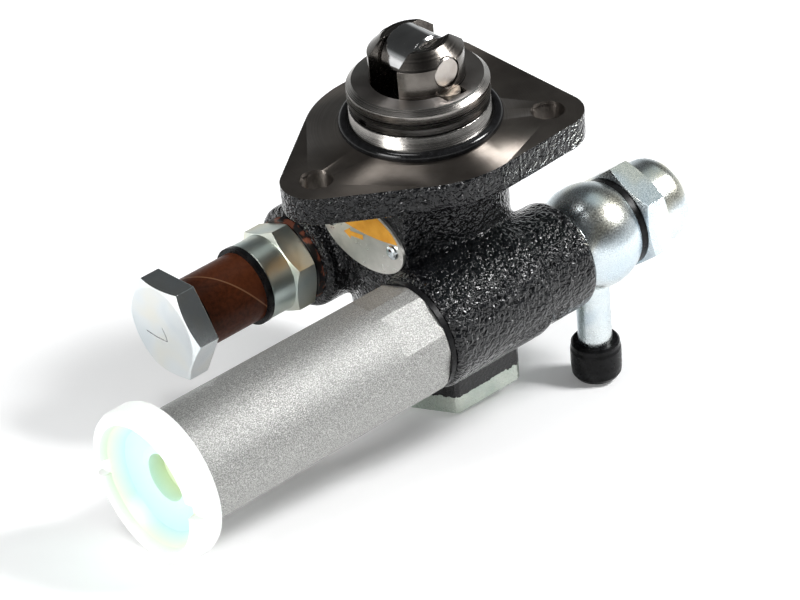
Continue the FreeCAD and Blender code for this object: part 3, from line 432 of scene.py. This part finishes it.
LOOKS = {
    "retaining_ring": "dark_ring_and_groove_shade", "flange_o_ring": "oiled", "tappet_body": "tappet",
    "roller": "roller", "roller_pin": "pin", "guide_key": "key", "tappet_spring": "wire",
    "push_rod": "inner", "piston": "inner", "piston_spring": "wire", "bottom_plug": "zinc_plug",
    "plug_seal": "copper", "name_plate": "plate", "plate_rivets": "zinc_out",
    "primer_barrel": "aluminium", "barrel_washer": "rubber", "barrel_bush": "inner",
    "rod_seal": "rubber", "primer_piston": "inner", "primer_seal": "rubber",
    "primer_rod": "inner", "primer_knob": "nylon", "inlet_valve": "nylon",
    "outlet_valve": "nylon", "inlet_valve_spring": "wire", "outlet_valve_spring": "wire",
    "union_ball": "zinc_in", "inner_gasket": "copper", "outer_gasket": "rubber",
    "union_bolt": "zinc_in", "inlet_strainer": "copper", "inlet_pipe": "zinc_in",
    "pipe_cap": "rubber", "outlet_washer": "gap_shade_copper", "outlet_adapter": "zinc_warm",
    "seal_washer": "rubber", "spacer_tube": "laminate", "bolt_washer": "rubber",
    "outlet_bolt": "zinc_out", "pump_housing": "paint",
}


def dress(mesh, looks):
    mesh.materials.clear()
    for look in looks:
        mesh.materials.append(MATERIALS[look])


def new_piece(name, mesh, looks, smooth=True):
    """A piece of the scene's own that rides on the housing."""
    piece = bpy.data.objects.new(name, mesh)
    scene.collection.objects.link(piece)
    dress(mesh, looks)
    for polygon in mesh.polygons:
        polygon.use_smooth = smooth
    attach(piece, "housing")
    return piece


def applied(mesh, kind, weight=None, **settings):
    """The mesh with one modifier applied; weight gives its share at a vertex's place."""
    holder = bpy.data.objects.new("holder", mesh)
    scene.collection.objects.link(holder)
    modifier = holder.modifiers.new(kind, kind)
    for key, value in settings.items():
        setattr(modifier, key, value)
    if weight is not None:
        group = holder.vertex_groups.new(name="share")
        for vertex in mesh.vertices:
            group.add([vertex.index], weight(vertex.co), "REPLACE")
        modifier.vertex_group = group.name
    graph = bpy.context.evaluated_depsgraph_get()
    made = bpy.data.meshes.new_from_object(holder.evaluated_get(graph))
    bpy.data.objects.remove(holder)
    return made


def housing_part(name, level, upper):
    """A copy of the housing's mesh above or below a level, closed where the lower part is cut."""
    shape = bmesh.new()
    shape.from_mesh(nodes["pump_housing"].data)
    bmesh.ops.remove_doubles(shape, verts=shape.verts, dist=WELD_GAP)
    cut = bmesh.ops.bisect_plane(shape, geom=shape.verts[:] + shape.edges[:] + shape.faces[:],
                                 plane_co=(0, 0, level), plane_no=(0, 0, 1),
                                 clear_inner=upper, clear_outer=not upper)
    if not upper:
        rim = [item for item in cut["geom_cut"] if isinstance(item, bmesh.types.BMEdge)]
        bmesh.ops.triangle_fill(shape, use_beauty=True, edges=rim)
    mesh = bpy.data.meshes.new(name)
    shape.to_mesh(mesh)
    shape.free()
    return mesh


def in_hole(point):
    return min((point - hole).xy.length for hole in STUD_HOLES) < HOLE_EDGE


def top_look(centre, flat):
    """Which part of the machined top a face belongs to."""
    out = math.hypot(centre.x, centre.y)
    if out < BORE_EDGE or out < SPIGOT_EDGE and centre.z > FACE_SKIN:
        # The groove's walls take the ring's near-black steel: painted shade.
        if GROOVE_Z[0] < centre.z < GROOVE_Z[1] and GROOVE_R[0] < out < GROOVE_R[1]:
            return "dark_ring_and_groove_shade"
        return "ring_face" if flat and centre.z > RING_FACE_Z else "spigot"
    return "face" if flat or in_hole(centre) else "paint"


def show_machined_top():
    """The flange's face, the spigot and the drilled holes, with sharp edges."""
    mesh = housing_part("machined_top", TOP_CUT, upper=True)
    looks = ["face", "spigot", "paint", "ring_face", "dark_ring_and_groove_shade"]
    piece = new_piece("machined_top", mesh, looks)
    for polygon in mesh.polygons:
        flat = abs(polygon.normal.z) > 0.9
        polygon.material_index = looks.index(top_look(polygon.center, flat))
        polygon.use_smooth = not flat
    mesh.set_sharp_from_angle(angle=math.radians(25))
    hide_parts("pump_housing")


def softness(place):
    """How far the casting's edges are rounded: not at the flange's face, fully below it."""
    return min(1.0, max(0.0, (SOFT_START - place.z) / SOFT_FULL))


def show_cast_body():
    """The painted casting below the face, with its edges rounded as in a sand mould."""
    mesh = housing_part("cast_body", CAST_CUT, upper=False)
    size = VOXEL
    mesh = applied(mesh, "REMESH", mode="VOXEL", voxel_size=size)
    mesh = applied(mesh, "SMOOTH", weight=softness, factor=0.5, iterations=10)
    piece = new_piece("cast_body", mesh, ["paint", "face"])
    for polygon in mesh.polygons:
        polygon.material_index = int(in_hole(polygon.center) and polygon.center.z > HOLE_DEPTH)
    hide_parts("pump_housing")


def flat_piece(name, outlines, x, look):
    """Flat shapes that face -X at one x; an outline is a list of (y, z) in millimetres."""
    shape = bmesh.new()
    for outline in outlines:
        shape.faces.new([shape.verts.new((x, y * MM, z * MM)) for y, z in outline])
    bmesh.ops.triangulate(shape, faces=shape.faces[:])
    for face in shape.faces:
        if face.normal.x > 0:
            face.normal_flip()
    mesh = bpy.data.meshes.new(name)
    shape.to_mesh(mesh)
    shape.free()
    new_piece(name, mesh, [look], smooth=False)


def field_edge(y):
    """The lower edge of the plate's orange field, a shallow curve (millimetres)."""
    return -23.2 + 0.0083 * (y - 2.0) ** 2


def print_plate():
    """The plate's orange field, bounded by its rim, and a plain arrow below it."""
    steps_round = 40
    angles = [math.tau * k / steps_round for k in range(steps_round)]
    rim = [(PLATE_HALF_Y / MM * math.cos(t), (PLATE_Z + PLATE_HALF_Z * math.sin(t)) / MM)
           for t in angles]
    upper = sorted((p for p in rim if p[1] > field_edge(p[0]) and p[0] < 13), key=lambda p: p[0])
    lower = [(y, field_edge(y)) for y in (12, 9, 6, 3, 0, -3, -6, -9, -12, -14.2)]
    arrow = [(7.3, -25.9), (4.6, -23.8), (4.6, -24.7), (-0.4, -23.9), (-0.4, -25.4), (4.6, -26.2),
             (4.6, -27.2)]
    flat_piece("plate_print", [upper + lower, arrow], PLATE_X - 0.03 * MM, "ink")


def stroke(start, end, wide, thin):
    """A slightly bowed scratch that narrows to its end, as an outline."""
    start, end = Vector(start), Vector(end)
    along = (end - start).normalized()
    side = Vector((-along.y, along.x))
    middle = (start + end) / 2 + side * 0.25
    half_wide, half_thin = side * wide / 2, side * thin / 2
    return [tuple(point) for point in (start + half_wide, middle + half_wide, end + half_thin,
                                       end - half_thin, middle - half_wide, start - half_wide)]


def scratch_bolt():
    """A tick scratched into the outlet bolt's face."""
    flat_piece("bolt_scratch", [stroke((31.9, -43.9), (23.4, -43.6), 0.3, 0.2),
                                stroke((23.2, -43.6), (25.0, -39.9), 0.32, 0.14)],
               BOLT_X - 0.02 * MM, "scratch")


def lay_floor():
    """A pale table with a painted glow that grows away from the pump, so that only its near part
    takes shadows.
    """
    normal = (CAP_FOOT - KNOB_FOOT).cross(PLUG_FOOT - KNOB_FOOT).normalized()
    normal *= math.copysign(1.0, normal.z)
    touch = KNOB_FOOT - normal * FLOOR_GAP
    side = normal.orthogonal().normalized()
    across = normal.cross(side)
    mesh = bpy.data.meshes.new("floor")
    mesh.from_pydata([touch + side * a * FLOOR_REACH + across * b * FLOOR_REACH
                      for a, b in ((-1, -1), (1, -1), (1, 1), (-1, 1))], [], [(0, 1, 2, 3)])
    floor = bpy.data.objects.new("floor", mesh)
    scene.collection.objects.link(floor)
    m = Maker("pale_table")
    m.colour(m.ramp(m.noise(9, 3), [(0.3, (0.9, 0.9, 0.905)), (0.7, (0.94, 0.94, 0.94))]))
    m.set(Roughness=0.6, Specular_IOR_Level=0.2, Emission_Color=(1, 1, 1, 1))
    away = m.tree.nodes.new("ShaderNodeVectorMath")
    away.operation = "LENGTH"
    m.link(m.place, away.inputs[0])
    # The table's own glow, painted light, weaker near the pump and stronger away from it.
    glow = m.range(away.outputs["Value"], 0.15, 0.5, 0.1, 0.3)
    m.link(glow, m.bsdf.inputs["Emission Strength"])
    mesh.materials.append(m.mat)


def lamp(name, place, size, power, tint=(1, 1, 1)):
    """A square soft box that faces the middle of the pump."""
    light = bpy.data.lights.new(name, "AREA")
    light.shape = "RECTANGLE"
    light.size = size
    light.size_y = size
    light.energy = power
    light.color = tint
    holder = bpy.data.objects.new(name, light)
    scene.collection.objects.link(holder)
    holder.location = place
    holder.rotation_mode = "QUATERNION"
    aim = Vector((-0.02, 0, -0.03)) - Vector(place)
    holder.rotation_quaternion = aim.to_track_quat("-Z", "Y")


def light_world():
    """White to the camera; to the pump, a white sweep near the table and a dark studio above."""
    world = bpy.data.worlds.new("studio")
    scene.world = world
    world.use_nodes = True
    tree = world.node_tree
    tree.nodes.clear()
    out = tree.nodes.new("ShaderNodeOutputWorld")
    mix = tree.nodes.new("ShaderNodeMixShader")
    path = tree.nodes.new("ShaderNodeLightPath")
    seen = tree.nodes.new("ShaderNodeBackground")
    seen.inputs[0].default_value = (1, 1, 1, 1)
    fill = tree.nodes.new("ShaderNodeBackground")
    way = tree.nodes.new("ShaderNodeSeparateXYZ")
    tree.links.new(tree.nodes.new("ShaderNodeTexCoord").outputs["Generated"], way.inputs[0])
    sweep = tree.nodes.new("ShaderNodeValToRGB")
    steps = sweep.color_ramp.elements
    steps.new(0.3)
    for step, (where, level) in zip(steps, ((0.06, 0.75), (0.3, 0.085), (1.0, 0.05))):
        step.position = where
        step.color = (level * 0.96, level * 0.99, level, 1)
    tree.links.new(way.outputs["Z"], sweep.inputs[0])
    tree.links.new(sweep.outputs[0], fill.inputs[0])
    tree.links.new(path.outputs["Is Camera Ray"], mix.inputs[0])
    tree.links.new(fill.outputs[0], mix.inputs[1])
    tree.links.new(seen.outputs[0], mix.inputs[2])
    tree.links.new(mix.outputs[0], out.inputs[0])


def place_camera():
    data = bpy.data.cameras.new("camera")
    data.sensor_width = SENSOR_MM
    data.lens = SENSOR_MM * FOCAL_PX / PHOTO_WIDTH_PX
    data.clip_start = 0.05
    data.clip_end = 20
    data.dof.use_dof = False
    camera = bpy.data.objects.new("camera", data)
    scene.collection.objects.link(camera)
    turn = Matrix((CAMERA_RIGHT, -CAMERA_DOWN, -CAMERA_AHEAD)).transposed().to_4x4()
    camera.matrix_world = Matrix.Translation(CAMERA_PLACE) @ turn
    scene.camera = camera


for node_name, look_name in LOOKS.items():
    dress(nodes[node_name].data, [look_name])
show_machined_top()
show_cast_body()
print_plate()
scratch_bolt()
lay_floor()
lamp("left_box", (-0.95, -0.05, 0.42), 0.45, 7)
lamp("right_box", (0.62, -0.42, 0.62), 0.26, 10)
lamp("top_box", (-0.25, 0.1, 1.0), 0.3, 3)
lamp("ceiling", (0.47, 0.13, 0.77), 0.5, 0.4, (0.85, 0.98, 1.0))
light_world()
scene.view_settings.view_transform = "Standard"
scene.view_settings.look = "None"
place_camera()
